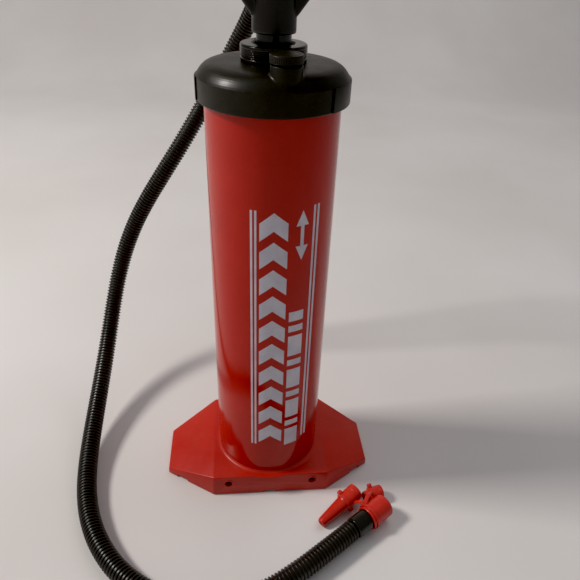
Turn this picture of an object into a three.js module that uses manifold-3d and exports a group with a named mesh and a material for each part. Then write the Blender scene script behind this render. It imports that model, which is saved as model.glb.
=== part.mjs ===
// Double action hand pump for inflatables: barrel on a foot plate, screw-on cap,
// hollow rod with a Y-shaped handle, and a corrugated hose with push-on nozzles.
// Millimetres, +Z up, X along the foot plate's long side, -Y the front.
// Origin: middle of the foot plate's underside.
import * as THREE from 'three';
import { mergeVertices } from 'three/addons/utils/BufferGeometryUtils.js';
import Module from 'manifold-3d';

const wasm = await Module();
wasm.setup();

// ---------------------------------------------------------------- dimensions
const GAP = 0.3;              // clearance between touching pieces
// barrel
const TUBE_R = 50.8;          // 4 in outside diameter
const TUBE_RI = 48.5;
const TUBE_Z0 = 8.0;
const TUBE_Z1 = 386.0;
// foot plate
const BASE_W = 104.7;         // half width
const BASE_E = 26.0;          // half length of the short outer edges
const BASE_G = 57.0;          // half width of the flat middle
const BASE_D = 56.0;          // half depth
const BASE_HE = 6.7;          // height at the outer edges
const BASE_H = 24.0;          // height of the middle
const BASE_T = 2.6;           // shell thickness
const HOLE_X = 42.0, HOLE_Z = 14.8, HOLE_R = 3.5;
// cap
const CAP_R = 55.5, PAD_R = 56.6;
const CAP_Z0 = 377.6, CAP_TOP = 404.1;
// crown of the cap: nearly flat, with a rounded shoulder
const CROWN = [[55.5, 394.0], [54.1, 396.9], [52.7, 399.4], [50.3, 401.7], [46.0, 403.1], [38.0, 403.7], [24.5, CAP_TOP]];
// gland collar
const COLLAR_R = 23.8, COLLAR_Z1 = 415.5;
// intake boss on the cap
const BOSS = [5.6, -42.5], BOSS_R = 10.9, BOSS_COVER_R = 11.3;
const VENT = [5.2, -40.0], VENT_R = 6.2;        // bore of the boss
const VALVE = [4.9, -38.2];                     // middle of the intake flap under it
// rod and handle
const ROD_R = 12.5, ROD_RI = 9.5, ROD_Z0 = 38.0, ROD_Z1 = 452.0;
const SLEEVE_R = 15.5, SLEEVE_Z0 = 422.0, FLARE_Z = 433.3;
const BAR_Z = 475.0, BAR_R = 14.0, BAR_L = 89.0;
const PORT_Z = 468.0, PORT_Y = 40.0;
// piston
const PIST_R = 48.0, PIST_Z0 = 27.0, PIST_Z1 = 47.0;
// hose
const HOSE_R = 9.5, HOSE_RI = 7.5;

// ---------------------------------------------------------------- colours
const red = (name) => new THREE.MeshStandardMaterial({ name, color: 0xb31c17, roughness: 0.25, metalness: 0 });
const black = (name) => new THREE.MeshStandardMaterial({ name, color: 0x14130f, roughness: 0.4, metalness: 0 });
const rubber = (name) => new THREE.MeshStandardMaterial({ name, color: 0x1a1a1a, roughness: 0.8, metalness: 0 });
const white = (name) => new THREE.MeshStandardMaterial({ name, color: 0xd8d6cc, roughness: 0.5, metalness: 0 });
const steel = (name) => new THREE.MeshStandardMaterial({ name, color: 0x9a9c9e, roughness: 0.35, metalness: 1 });

// ---------------------------------------------------------------- helpers
function solid(geometry) {
  const g0 = geometry.index ? geometry.toNonIndexed() : geometry.clone();
  for (const k of Object.keys(g0.attributes)) if (k !== 'position') g0.deleteAttribute(k);
  const g = mergeVertices(g0, 1e-4);
  const idx = g.index.array;
  const pos = g.attributes.position.array;
  const keep = [];
  for (let i = 0; i < idx.length; i += 3) {
    const [a, b, c] = [idx[i], idx[i + 1], idx[i + 2]];
    if (a !== b && b !== c && a !== c) keep.push(a, b, c);
  }
  let vol = 0;
  const v = (k) => [pos[3 * k], pos[3 * k + 1], pos[3 * k + 2]];
  for (let i = 0; i < keep.length; i += 3) {
    const [p, q, r] = [v(keep[i]), v(keep[i + 1]), v(keep[i + 2])];
    vol += p[0] * (q[1] * r[2] - q[2] * r[1]) - p[1] * (q[0] * r[2] - q[2] * r[0]) + p[2] * (q[0] * r[1] - q[1] * r[0]);
  }
  if (vol < 0) for (let i = 0; i < keep.length; i += 3) [keep[i + 1], keep[i + 2]] = [keep[i + 2], keep[i + 1]];
  return new wasm.Manifold(new wasm.Mesh({
    numProp: 3, vertProperties: new Float32Array(pos), triVerts: new Uint32Array(keep),
  }));
}
function toGeometry(m) {
  const mesh = m.getMesh();
  const n = mesh.numProp;
  const count = mesh.vertProperties.length / n;
  const p = new Float32Array(count * 3);
  for (let i = 0; i < count; i++) for (let k = 0; k < 3; k++) p[3 * i + k] = mesh.vertProperties[n * i + k];
  const g = new THREE.BufferGeometry();
  g.setAttribute('position', new THREE.BufferAttribute(p, 3));
  g.setIndex(new THREE.BufferAttribute(new Uint32Array(mesh.triVerts), 1));
  g.computeVertexNormals();
  return g;
}
// facets round a circle, in four steps so that fitting circles share one count
const facets = (n) => (n >= 48 ? 32 : n >= 36 ? 20 : n >= 24 ? 14 : n >= 16 ? 10 : 8);
// closed ring or solid of revolution about +Z; profile is [r, z] pairs
function latheZ(profile, seg = 64) {
  const onAxis = profile[0][0] === 0 && profile[profile.length - 1][0] === 0;
  const pts = profile.map(([r, z]) => new THREE.Vector2(r, z));
  if (!onAxis) pts.push(pts[0].clone());
  const g = new THREE.LatheGeometry(pts, facets(seg));
  g.rotateX(Math.PI / 2);
  return solid(g);
}
const ring = (ri, ro, z0, z1, seg = 64) => latheZ([[ri, z0], [ro, z0], [ro, z1], [ri, z1]], seg);
const rod = (r, z0, z1, seg = 32) => latheZ([[0, z0], [r, z0], [r, z1], [0, z1]], seg);
function place(m, matrix) {
  const g = toGeometry(m);
  g.applyMatrix4(matrix);
  return solid(g);
}
function frameAt(origin, zAxis) {
  const z = new THREE.Vector3(...zAxis).normalize();
  const up = Math.abs(z.z) > 0.9 ? new THREE.Vector3(0, 1, 0) : new THREE.Vector3(0, 0, 1);
  const x = new THREE.Vector3().crossVectors(up, z).normalize();
  const y = new THREE.Vector3().crossVectors(z, x);
  return new THREE.Matrix4().makeBasis(x, y, z).setPosition(...origin);
}
function box(x0, x1, y0, y1, z0, z1) {
  const g = new THREE.BoxGeometry(x1 - x0, y1 - y0, z1 - z0);
  g.translate((x0 + x1) / 2, (y0 + y1) / 2, (z0 + z1) / 2);
  return solid(g);
}
const cylAt = (x, y, r, z0, z1, seg = 24) => place(rod(r, z0, z1, seg), new THREE.Matrix4().makeTranslation(x, y, 0));
// prism of an XY outline between two heights
function prism(outline, z0, z1) {
  const g = new THREE.ExtrudeGeometry(new THREE.Shape(outline.map(([x, y]) => new THREE.Vector2(x, y))), { depth: z1 - z0, bevelEnabled: false });
  g.translate(0, 0, z0);
  return solid(g);
}
// prism of an XZ outline between two y values
function prismY(outline, y0, y1) {
  const g = new THREE.ExtrudeGeometry(new THREE.Shape(outline.map(([x, z]) => new THREE.Vector2(x, z))), { depth: y1 - y0, bevelEnabled: false });
  g.rotateX(Math.PI / 2);
  g.translate(0, y1, 0);
  return solid(g);
}
const alongX = (m) => place(m, new THREE.Matrix4().makeRotationY(Math.PI / 2));
const polar = (r, deg) => [r * Math.cos(deg * Math.PI / 180), r * Math.sin(deg * Math.PI / 180)];

const group = new THREE.Group();
const nodes = {};
function add(name, m, material) {
  const mesh = new THREE.Mesh(toGeometry(m), material);
  mesh.name = name;
  group.add(mesh);
  nodes[name] = m;
}

// ---------------------------------------------------------------- foot plate
function octagon(w, e, g, d) {
  return [[-g, -d], [g, -d], [w, -e], [w, e], [g, d], [-g, d], [-w, e], [-w, -e]];
}
function roofed(w, e, g, d, he, h, z0) {
  const body = prism(octagon(w, e, g, d), z0, h);
  const roof = prismY([[-w, z0], [w, z0], [w, he], [g, h], [-g, h], [-w, he]], -d - 1, d + 1);
  return body.intersect(roof);
}
const baseOuter = roofed(BASE_W, BASE_E, BASE_G, BASE_D, BASE_HE, BASE_H, 0);
const baseInner = roofed(BASE_W - BASE_T, BASE_E - 1.1, BASE_G - 1.4, BASE_D - BASE_T, BASE_HE - BASE_T, BASE_H - BASE_T, -1);
let base = baseOuter.subtract(baseInner);
let ribs = null;
for (const a of [0, 180, 35, 145, 215, 325]) {
  const rib = place(box(52.2, 112, -1.1, 1.1, 3.0, 30), new THREE.Matrix4().makeRotationZ(a * Math.PI / 180));
  ribs = ribs ? ribs.add(rib) : rib;
}
base = base.add(ribs.intersect(baseOuter));
base = base.add(ring(TUBE_R + GAP, 53.6, 3.2, BASE_H + 1.0, 72));          // socket with its lip
base = base.subtract(rod(TUBE_R + GAP, 5.0, 40, 72));
base = base.add(ring(34, 53.4, 3.2, 5.0, 72));                              // floor of the socket
for (const sx of [-1, 1]) for (const sy of [-1, 1]) {
  const m = frameAt([sx * HOLE_X, sy * (BASE_D - 6), HOLE_Z], [0, sy, 0]);
  base = base.add(place(rod(4.7, 3.6, 6.5, 20), m));
  base = base.subtract(place(rod(HOLE_R, -1, 8, 20), m));
}
// air notches along the bottom rim
for (const sy of [-1, 1]) {
  base = base.subtract(box(-6.4, 6.4, sy > 0 ? BASE_D - 4 : -BASE_D - 1, sy > 0 ? BASE_D + 1 : -BASE_D + 4, -1, 2.6));
  for (const sx of [-1, 1]) {
    const ang = Math.atan2(sy * (BASE_D - BASE_E), -sx * (BASE_W - BASE_G));
    const m = new THREE.Matrix4().makeRotationZ(ang).setPosition(sx * 89.7, sy * 32.9 * 1.075, 0);
    base = base.subtract(place(box(-6.5, 6.5, -5, 5, -1, 2.6), m));
  }
}
for (const a of [45, 135, 225, 315]) base = base.subtract(cylAt(...polar(43, a), 2.3, 2, 6, 16));
add('base_foot', base, red('red_plastic'));

// ---------------------------------------------------------------- barrel
add('barrel_tube', ring(TUBE_RI, TUBE_R, TUBE_Z0, TUBE_Z1, 72), red('red_gloss'));

let head = latheZ([[0, 5.3], [50.6, 5.3], [50.6, 7.7], [48.1, 7.7], [48.1, 10.4], [45.9, 10.4], [45.9, 13.6], [48.1, 13.6],
  [48.1, 16], [40, 16], [40, 8.3], [0, 8.3]], 64);
for (const a of [0, 60, 120, 180, 240, 300]) head = head.subtract(cylAt(...polar(17, a), 4.5, 4, 10, 12));
head = head.subtract(rod(2.8, 4, 10, 18));
for (const a of [45, 135, 225, 315]) head = head.subtract(cylAt(...polar(43, a), 2.1, 4, 15, 14));
add('bottom_head', head, black('black_plastic'));
add('bottom_seal_ring', latheZ([[46.3, 10.75], [47.8, 10.75], [48.2, 12], [47.8, 13.25], [46.3, 13.25]], 48), rubber('rubber'));
add('bottom_intake_flap', ring(2.9, 26, 8.6, 10.0, 40), rubber('rubber'));
add('bottom_flap_rivet', latheZ([[0, 3.3], [5.2, 3.3], [5.2, 5.0], [2.5, 5.0], [2.5, 12.3], [6.5, 12.3], [6.2, 13.6], [4.5, 14.2], [0, 14.2]], 18), black('black_plastic'));
[45, 135, 225, 315].forEach((a, i) => {
  const [x, y] = polar(43, a);
  const head0 = latheZ([[0, 1.2], [3.2, 1.2], [4.0, 1.9], [4.0, 2.9], [1.8, 2.9], [1.8, 14.4], [0, 14.4]], 14);
  const slot = box(-2.4, 2.4, -0.45, 0.45, 0, 2.0).add(box(-0.45, 0.45, -2.4, 2.4, 0, 2.0));
  add(`base_screw_${i + 1}`, place(head0.subtract(slot), new THREE.Matrix4().makeTranslation(x, y, 0)), steel('steel'));
});

// ---------------------------------------------------------------- cap
const capOuter = [[51.2, CAP_Z0], [CAP_R - 0.6, CAP_Z0], [CAP_R, CAP_Z0 + 0.6], ...CROWN, [17.4, CAP_TOP], [17.4, 386.0], [21.5, 386.0],
  [21.5, CAP_TOP - 3.4], [37, 400.3], [45.5, 399.4], [46.5, 396], [46.5, 388.2], [51.2, 388.2]];
let cap = latheZ(capOuter, 72);
for (const a0 of [-47, 133]) {                                   // grip pads on two sides
  const shape = new THREE.Shape();
  const n = 12;
  for (let i = 0; i <= n; i++) { const [x, y] = polar(PAD_R, a0 + 57 * i / n); i ? shape.lineTo(x, y) : shape.moveTo(x, y); }
  for (let i = n; i >= 0; i--) { const [x, y] = polar(53, a0 + 57 * i / n); shape.lineTo(x, y); }
  const g = new THREE.ExtrudeGeometry(shape, { depth: 16.1, bevelEnabled: false });
  g.translate(0, 0, CAP_Z0 + 0.2);
  cap = cap.add(solid(g));
}
cap = cap.add(cylAt(5.2, -38.6, 10.4, 391.2, 399, 32).subtract(rod(20, 380, 410)));   // valve seat under the crown
cap = cap.add(cylAt(...BOSS, BOSS_R, 396, 409.3, 36).subtract(rod(23.9, 380, 415)));
cap = cap.subtract(cylAt(...VENT, VENT_R, 393.7, 415, 28));
for (const a of [-150, -90, -30]) {
  const [x, y] = polar(3.9, a);
  cap = cap.subtract(cylAt(VALVE[0] + x, VALVE[1] + y, 1.7, 390, 395, 12));
}
cap = cap.subtract(cylAt(...VALVE, 1.5, 390, 395, 12));
const COVER_PINS = [-90, 5, 175].map((a) => { const [x, y] = polar(8.6, a); return [BOSS[0] + x, BOSS[1] + y]; });
for (const p of COVER_PINS) cap = cap.subtract(cylAt(...p, 1.5, 404.6, 415, 12));
add('top_cap', cap, black('black_plastic'));
add('cap_gasket', ring(48.6, 50.7, TUBE_Z1 + GAP, 387.9, 48), rubber('rubber'));
let cover = cylAt(...BOSS, BOSS_COVER_R, 410.3, 415.3, 36).add(cylAt(...BOSS, BOSS_COVER_R - 0.8, 415.2, 416.0, 36));
for (const p of COVER_PINS) cover = cover.add(cylAt(...p, 1.2, 405.0, 411, 12));
add('intake_cover', cover, black('black_plastic'));
add('cap_intake_flap', place(ring(1.6, 7.4, 389.6, 390.8, 28), new THREE.Matrix4().makeTranslation(...VALVE, 0)), rubber('rubber'));
add('cap_flap_pin', place(latheZ([[0, 386.4], [2.8, 386.4], [3.2, 387.4], [1.2, 387.4], [1.2, 394.0], [2.4, 394.0], [2.2, 395.2], [0, 395.2]], 14),
  new THREE.Matrix4().makeTranslation(...VALVE, 0)), black('black_plastic'));

add('gland_collar', latheZ([[12.95, CAP_TOP + GAP], [23.2, CAP_TOP + GAP], [COLLAR_R, 405.0], [COLLAR_R, 406.3], [23.3, 406.8], [COLLAR_R, 407.3], [COLLAR_R, 413.9],
  [23.2, 415.0], [22.3, COLLAR_Z1], [14.9, COLLAR_Z1], [14.9, 412.6], [12.95, 412.6]], 56), black('black_plastic'));
add('rod_bush', latheZ([[12.85, 383.8], [21.2, 383.8], [21.2, 385.7], [17.1, 385.7], [17.1, 403.4], [12.85, 403.4]], 40), white('white_plastic'));
add('rod_wiper', latheZ([[12.8, 414.0], [13.4, 412.9], [14.6, 412.9], [14.6, 415.3], [13.6, 415.5], [12.8, 415.5]], 40), rubber('rubber'));

// ---------------------------------------------------------------- rod and piston
let pumpRod = ring(ROD_RI, ROD_R, ROD_Z0, ROD_Z1, 40).add(ring(11, 15.2, 50.7, 53.7, 40));
const screwM = frameAt([0, 0, 441], [0, 1, 0]);
pumpRod = pumpRod.subtract(place(rod(2.1, 5, 14, 14), screwM));
add('pump_rod', pumpRod, black('black_gloss'));

let cup = latheZ([[0, PIST_Z0], [PIST_R - 0.6, PIST_Z0], [PIST_R, PIST_Z0 + 0.6], [PIST_R, 34], [45.2, 34], [45.2, 39.5], [PIST_R, 39.5],
  [PIST_R, PIST_Z1], [38.5, PIST_Z1], [38.5, 30], [0, 30]], 56);
for (const a of [0, 60, 120, 180, 240, 300]) cup = cup.subtract(cylAt(...polar(16, a), 3.6, 25, 32, 12));
cup = cup.subtract(rod(2.5, 25, 32, 14));
for (const a of [90, 210, 330]) cup = cup.subtract(cylAt(...polar(41.8, a), 1.9, 25, 50, 12)).subtract(cylAt(...polar(41.8, a), 3.4, 25, 29.6, 14));
add('piston_cup', cup, black('black_plastic'));
let plate = ring(12.8, PIST_R, 47.3, 50.4, 56);
for (const a of [0, 60, 120, 180, 240, 300]) plate = plate.subtract(cylAt(...polar(26, a), 3.6, 45, 53, 12));
for (const a of [90, 210, 330]) plate = plate.subtract(cylAt(...polar(41.8, a), 1.8, 45, 49.4, 12));
add('piston_plate', plate, black('black_plastic'));
add('piston_seal', latheZ([[45.5, 34.5], [47.5, 34.5], [48.25, 36.7], [47.5, 39.0], [45.5, 39.0]], 56), rubber('rubber'));
add('rod_nut', latheZ([[12.8, 40.6], [21.5, 40.6], [22, 41.1], [22, 42.8], [17.5, 42.8], [17.5, 46.9], [12.8, 46.9]], 40), black('black_plastic'));
add('piston_flap_upper', ring(17.9, 33.5, 45.6, 46.8, 40), rubber('rubber'));
add('piston_flap_lower', ring(2.7, 27, 30.4, 31.6, 40), rubber('rubber'));
add('piston_flap_rivet', latheZ([[0, 25.6], [3.8, 25.6], [4.2, 26.7], [2.2, 26.7], [2.2, 33.9], [6, 33.9], [5.6, 35.2], [0, 35.2]], 16), black('black_plastic'));
[90, 210, 330].forEach((a, i) => {
  const [x, y] = polar(41.8, a);
  const s = latheZ([[0, 27.4], [2.6, 27.4], [3.05, 27.9], [3.05, 29.3], [1.5, 29.3], [1.5, 49.0], [0, 49.0]], 12);
  add(`piston_screw_${i + 1}`, place(s.subtract(box(-1.9, 1.9, -0.4, 0.4, 26, 28)), new THREE.Matrix4().makeTranslation(x, y, 0)), steel('steel'));
});
add('stop_bumper', latheZ([[12.85, 54.0], [17.0, 54.0], [18.2, 55.2], [18.2, 57.4], [17.0, 58.6], [12.85, 58.6]], 40), rubber('rubber'));

// ---------------------------------------------------------------- handle
let handle = rod(SLEEVE_R, SLEEVE_Z0, 474, 40);
handle = handle.add(latheZ([[0, 452], [SLEEVE_R, 452], [18.2, 458], [18.2, 484], [15.5, 488.4], [0, 488.4]], 40));
handle = handle.add(alongX(rod(BAR_R, -BAR_L, BAR_L, 32)).subtract(box(-100, 100, -30, 30, -40, -39)).translate([0, 0, BAR_Z]));
handle = handle.add(prismY([[-SLEEVE_R, FLARE_Z], [SLEEVE_R, FLARE_Z], [48.5, 474], [-48.5, 474]], -7, 7));
handle = handle.add(place(rod(11.6, 0, 29.8, 32), frameAt([0, 0, PORT_Z], [0, 1, 0])));
handle = handle.add(place(rod(9.4, 29, PORT_Y, 32), frameAt([0, 0, PORT_Z], [0, 1, 0])));
handle = handle.subtract(rod(ROD_R + GAP, 420, ROD_Z1 + GAP, 40));
handle = handle.subtract(rod(ROD_RI, 450, PORT_Z + 6, 28));
handle = handle.subtract(place(rod(7.2, 0, PORT_Y + 2, 24), frameAt([0, 0, PORT_Z], [0, 1, 0])));
for (const s of [-1, 1]) {
  const x0 = s > 0 ? 30 : -95, x1 = s > 0 ? 95 : -30;
  handle = handle.subtract(alongX(rod(11.2, x0, x1, 28)).translate([0, 0, BAR_Z]));
}
handle = handle.subtract(place(rod(2.1, 8, 20, 14), screwM)).subtract(place(rod(3.5, 14.2, 20, 16), screwM));
add('handle_body', handle, black('black_plastic'));
add('handle_screw', place(latheZ([[0, 9], [1.7, 9], [1.7, 14.6], [3.1, 14.6], [3.0, 15.8], [2.4, 16.2], [0, 16.2]], 12), screwM), steel('steel'));
for (const [side, s] of [['left', -1], ['right', 1]]) {
  const m = frameAt([0, 0, BAR_Z], [s, 0, 0]);
  const plug = latheZ([[0, BAR_L + GAP], [0, BAR_L + 3.2], [11.5, BAR_L + 3.2], [13.4, BAR_L + 2.3], [BAR_R, BAR_L + 0.9], [BAR_R, BAR_L + GAP], [10.9, BAR_L + GAP],
    [10.9, BAR_L - 14], [8.6, BAR_L - 14], [8.6, BAR_L + 0.2], [0, BAR_L + 0.2]].filter((p, i) => i > 0).concat([]), 32);
  add(`handle_end_plug_${side}`, place(plug, m), black('black_plastic'));
}
const portM = frameAt([0, 0, PORT_Z], [0, 1, 0]);
add('hose_port_seal', place(latheZ([[7.4, 40.4], [9.3, 40.4], [9.3, 41.8], [7.4, 41.8]], 28), portM), rubber('rubber'));
add('hose_connector', place(latheZ([[9.7, 30.2], [12.2, 30.2], [13.1, 31.0], [13.1, 43.5], [12.4, 44.6], [11.2, 45.2], [10.4, 51.4], [10.0, 52.0], [7.3, 52.0], [7.3, 42.1], [9.7, 42.1]], 36), portM), black('black_plastic'));

// ---------------------------------------------------------------- hose
const hosePath = [
  [0, 52.3, 468], [0.2, 85.2, 467.8], [1.9, 118, 464.7], [3.3, 149.3, 454.9], [0.5, 176, 436.1], [-9.2, 193.6, 410.3],
  [-24, 201.3, 382], [-40.7, 201.8, 353.6], [-57.8, 198.2, 325.6], [-75.2, 193.1, 298.2], [-93.3, 188.6, 271], [-111.8, 185.6, 243.9],
  [-129.9, 183.6, 216.4], [-146.3, 180.8, 188.1], [-159.8, 174.7, 158.7], [-169.8, 163.7, 129.3], [-176.6, 147.2, 101.7], [-181.1, 125.7, 77.2],
  [-184.3, 100.2, 56.7], [-186.6, 71.8, 40.2], [-187.9, 41.4, 27.6], [-187.9, 9.8, 18.5], [-185.9, -22.6, 12.8], [-180.5, -55, 10.3],
  [-170.3, -86.3, 9.9], [-154.5, -115.1, 10], [-132.9, -139.9, 9.9], [-105.9, -158.7, 9.9], [-74.9, -169.5, 9.9], [-42.1, -171, 9.9],
  [-10.1, -163.3, 10.5], [19.3, -148.7, 12], [47, -130.9, 12.8], [74.2, -112.3, 12.9]];
const hoseCurve = new THREE.CatmullRomCurve3(hosePath.map((p) => new THREE.Vector3(...p)), false, 'centripetal');
const section = new THREE.Shape();
section.absarc(0, 0, HOSE_R, 0, Math.PI * 2, false);
const hollow = new THREE.Path();
hollow.absarc(0, 0, HOSE_RI, 0, Math.PI * 2, true);
section.holes.push(hollow);
add('hose', solid(new THREE.ExtrudeGeometry(section, { steps: 38, curveSegments: 4, bevelEnabled: false, extrudePath: hoseCurve })), black('black_hose'));

// cuff and push-on nozzle in line with the hose's end
const endDir = [0.826, 0.5637, 0];
const endM = frameAt([74.2, -112.3, 12.9], endDir);
add('hose_end_cuff', place(latheZ([[7.0, 0.35], [9.4, 0.35], [9.9, 0.9], [9.9, 16.5], [9.6, 17.6], [9.6, 29.0], [7.0, 29.0]], 32), endM), black('black_plastic'));
add('nozzle_large', place(latheZ([[9.95, 18.0], [11.0, 18.0], [11.4, 18.4], [11.3, 30], [10.9, 42.6], [10.4, 43.2], [7.6, 43.2], [7.6, 30.5], [9.95, 30.5]], 32), endM), red('red_nozzle'));
const ear = (r0, r1, w, z0, z1, deg) => place(box(r0, r1, -w, w, z0, z1), new THREE.Matrix4().makeRotationZ(deg * Math.PI / 180));
const medM = frameAt([98.3, -72.6, 8.1], [0.97, 0.24, 0]);
let med = latheZ([[3.4, -6.3], [4.5, -6.3], [5.6, -0.2], [7.2, 0], [7.6, 0.4], [7.6, 2.4], [7.3, 2.8], [7.2, 12.8], [6.8, 13.4], [5.4, 13.4], [5.4, 1.0], [3.7, -1.0]], 28);
med = med.add(ear(6.8, 10.8, 2.4, 0.1, 4.2, 45));
add('nozzle_medium', place(med, medM), red('red_nozzle'));
const smallM = frameAt([70.5, -81.4, 10.9], [-0.796, -0.567, -0.19]);
let small = latheZ([[5.2, -18.0], [7.9, -18.0], [8.3, -17.5], [8.3, -2.4], [8.9, -2.4], [9.2, -2.1], [9.2, -0.3], [8.9, 0], [7.5, 0], [7.0, 2.0], [4.8, 28.2], [4.2, 30.2], [2.6, 31.0], [2.1, 31.0], [3.6, 1.0], [5.2, -3.0]], 28);
small = small.add(ear(7.4, 11.9, 2.7, -4.4, -0.1, 137)).add(ear(7.4, 11.9, 2.7, -4.4, -0.1, 317));
add('nozzle_small', place(small, smallM), red('red_nozzle'));
function strap(points, w, t) {
  const shape = new THREE.Shape([[-t / 2, -w / 2], [t / 2, -w / 2], [t / 2, w / 2], [-t / 2, w / 2]].map(([a, b]) => new THREE.Vector2(a, b)));
  const c = new THREE.CatmullRomCurve3(points.map((p) => new THREE.Vector3(...p)));
  return solid(new THREE.ExtrudeGeometry(shape, { steps: 10, bevelEnabled: false, extrudePath: c }));
}
// tie: a ring round the large nozzle with an arm to each loose nozzle
let tie = place(ring(11.7, 12.4, 20.7, 23.7, 36), endM);
tie = tie.add(strap([[87.8, -92.9, 21.2], [85.6, -90.4, 21.8], [82.8, -87.6, 19.4], [80.6, -85.4, 15.6]], 3.4, 1.8));
tie = tie.add(strap([[87.8, -92.9, 21.2], [91.0, -87.2, 22.0], [95.2, -80.4, 20.2], [98.4, -75.6, 16.2]], 3.4, 1.8));
const clearSmall = place(latheZ([[0, -18.4], [8.7, -18.4], [8.7, -2.8], [9.6, -2.8], [9.6, 0.4], [7.8, 0.4], [5.2, 31.4], [0, 31.4]], 28)
  .add(ear(5, 12.3, 3.1, -4.8, 0.3, 137)).add(ear(5, 12.3, 3.1, -4.8, 0.3, 317)), smallM);
const clearMedium = place(latheZ([[0, -6.7], [4.9, -6.7], [6.0, -0.6], [8.0, -0.4], [8.0, 3.2], [7.6, 3.2], [7.6, 13.8], [0, 13.8]], 28)
  .add(ear(4, 11.2, 2.8, -0.3, 4.6, 45)), medM);
const clearLarge = place(rod(11.7, 17.6, 43.6, 36), endM);
tie = tie.subtract(clearSmall).subtract(clearMedium).subtract(clearLarge);
add('nozzle_tie', tie, red('red_nozzle'));

export default group;
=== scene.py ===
"""Double action hand pump: detailed pieces, materials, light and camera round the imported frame.

Everything is in metres in the row frame. Shapes are written in millimetres and scaled by MM.
"""
import bpy
import bmesh
import math
import numpy as np
from mathutils import Matrix, Vector


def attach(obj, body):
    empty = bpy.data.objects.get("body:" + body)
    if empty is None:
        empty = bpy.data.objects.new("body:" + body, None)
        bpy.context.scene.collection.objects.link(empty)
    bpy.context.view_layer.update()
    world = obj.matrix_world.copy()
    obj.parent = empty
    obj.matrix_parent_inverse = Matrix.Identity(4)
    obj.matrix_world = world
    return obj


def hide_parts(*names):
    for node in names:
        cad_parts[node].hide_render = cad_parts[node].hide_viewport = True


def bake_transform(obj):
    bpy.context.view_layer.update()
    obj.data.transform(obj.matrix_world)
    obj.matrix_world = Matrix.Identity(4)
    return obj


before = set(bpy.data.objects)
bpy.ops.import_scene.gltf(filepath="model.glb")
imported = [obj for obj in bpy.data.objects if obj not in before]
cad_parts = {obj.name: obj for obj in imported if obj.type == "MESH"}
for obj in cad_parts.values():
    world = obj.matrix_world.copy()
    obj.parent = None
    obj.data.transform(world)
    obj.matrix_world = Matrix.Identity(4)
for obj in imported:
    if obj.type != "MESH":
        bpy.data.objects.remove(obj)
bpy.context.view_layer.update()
MM = 0.001
scene = bpy.context.scene


# ------------------------------------------------------------------ camera
def make_camera():
    right = Vector((0.99566, -0.08707, 0.03290)).normalized()
    fwd = Vector((0.09090, 0.83290, -0.54590)).normalized()
    right = (right - fwd * right.dot(fwd)).normalized()
    up = right.cross(fwd).normalized()
    m = Matrix.Identity(4)
    for i in range(3):
        m[i][0], m[i][1], m[i][2] = right[i], up[i], -fwd[i]
    m[0][3], m[1][3], m[2][3] = -0.02766, -0.41977, 0.48372
    data = bpy.data.cameras.new("camera")
    data.sensor_fit = "HORIZONTAL"
    data.sensor_width = 36.0
    data.lens = 36.0 * 557.846 / 580.0
    data.clip_start = 0.01
    data.clip_end = 50.0
    cam = bpy.data.objects.new("camera", data)
    cam.matrix_world = m
    scene.collection.objects.link(cam)
    scene.camera = cam


make_camera()


# ------------------------------------------------------------------ mesh helpers
def place(origin, z_axis):
    """The same frame as the CAD's: z along z_axis, x = up x z."""
    z = Vector(z_axis).normalized()
    up = Vector((0, 1, 0)) if abs(z.z) > 0.9 else Vector((0, 0, 1))
    x = up.cross(z).normalized()
    y = z.cross(x)
    m = Matrix.Identity(4)
    for i in range(3):
        m[i][0], m[i][1], m[i][2], m[i][3] = x[i], y[i], z[i], origin[i]
    return m


def new_obj(name, verts, faces, m=None, smooth=35.0):
    co = np.array(verts, float).reshape(-1, 3)
    if m is not None:
        a = np.array(m, float)
        co = co @ a[:3, :3].T + a[:3, 3]
    mesh = bpy.data.meshes.new(name)
    mesh.from_pydata((co * MM).tolist(), [], [list(f) for f in faces])
    mesh.validate()
    ob = bpy.data.objects.new(name, mesh)
    scene.collection.objects.link(ob)
    tidy(ob, smooth)
    return ob


def tidy(ob, smooth=35.0):
    mesh = ob.data
    bm = bmesh.new()
    bm.from_mesh(mesh)
    bmesh.ops.remove_doubles(bm, verts=bm.verts, dist=1e-7)
    bmesh.ops.recalc_face_normals(bm, faces=bm.faces)
    bm.to_mesh(mesh)
    bm.free()
    mesh.shade_smooth()
    mesh.set_sharp_from_angle(angle=math.radians(smooth))
    mesh.update()
    return ob


def bake(ob, smooth=35.0):
    """Applies every modifier."""
    dg = bpy.context.evaluated_depsgraph_get()
    dg.update()
    mesh = bpy.data.meshes.new_from_object(ob.evaluated_get(dg))
    ob.modifiers.clear()
    old = ob.data
    ob.data = mesh
    bpy.data.meshes.remove(old)
    return tidy(ob, smooth)


def remove(ob):
    mesh = ob.data
    bpy.data.objects.remove(ob)
    if mesh.users == 0:
        bpy.data.meshes.remove(mesh)


def boolean(a, b, op="DIFFERENCE", solver="EXACT", own=False, smooth=35.0):
    mod = a.modifiers.new("b", "BOOLEAN")
    mod.operation = op
    mod.object = b
    mod.solver = solver
    if solver == "EXACT":
        mod.use_self = own
    bake(a, smooth)
    remove(b)
    return a


def join(name, parts, smooth=35.0):
    verts, faces = [], []
    for p in parts:
        n = len(verts)
        verts += [tuple(v.co) for v in p.data.vertices]
        faces += [[n + i for i in f.vertices] for f in p.data.polygons]
    for p in parts:
        remove(p)
    mesh = bpy.data.meshes.new(name)
    mesh.from_pydata(verts, [], faces)
    ob = bpy.data.objects.new(name, mesh)
    scene.collection.objects.link(ob)
    mesh.shade_smooth()
    bm = bmesh.new()
    bm.from_mesh(mesh)
    bmesh.ops.recalc_face_normals(bm, faces=bm.faces)
    bm.to_mesh(mesh)
    bm.free()
    mesh.set_sharp_from_angle(angle=math.radians(smooth))
    return ob


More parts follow.
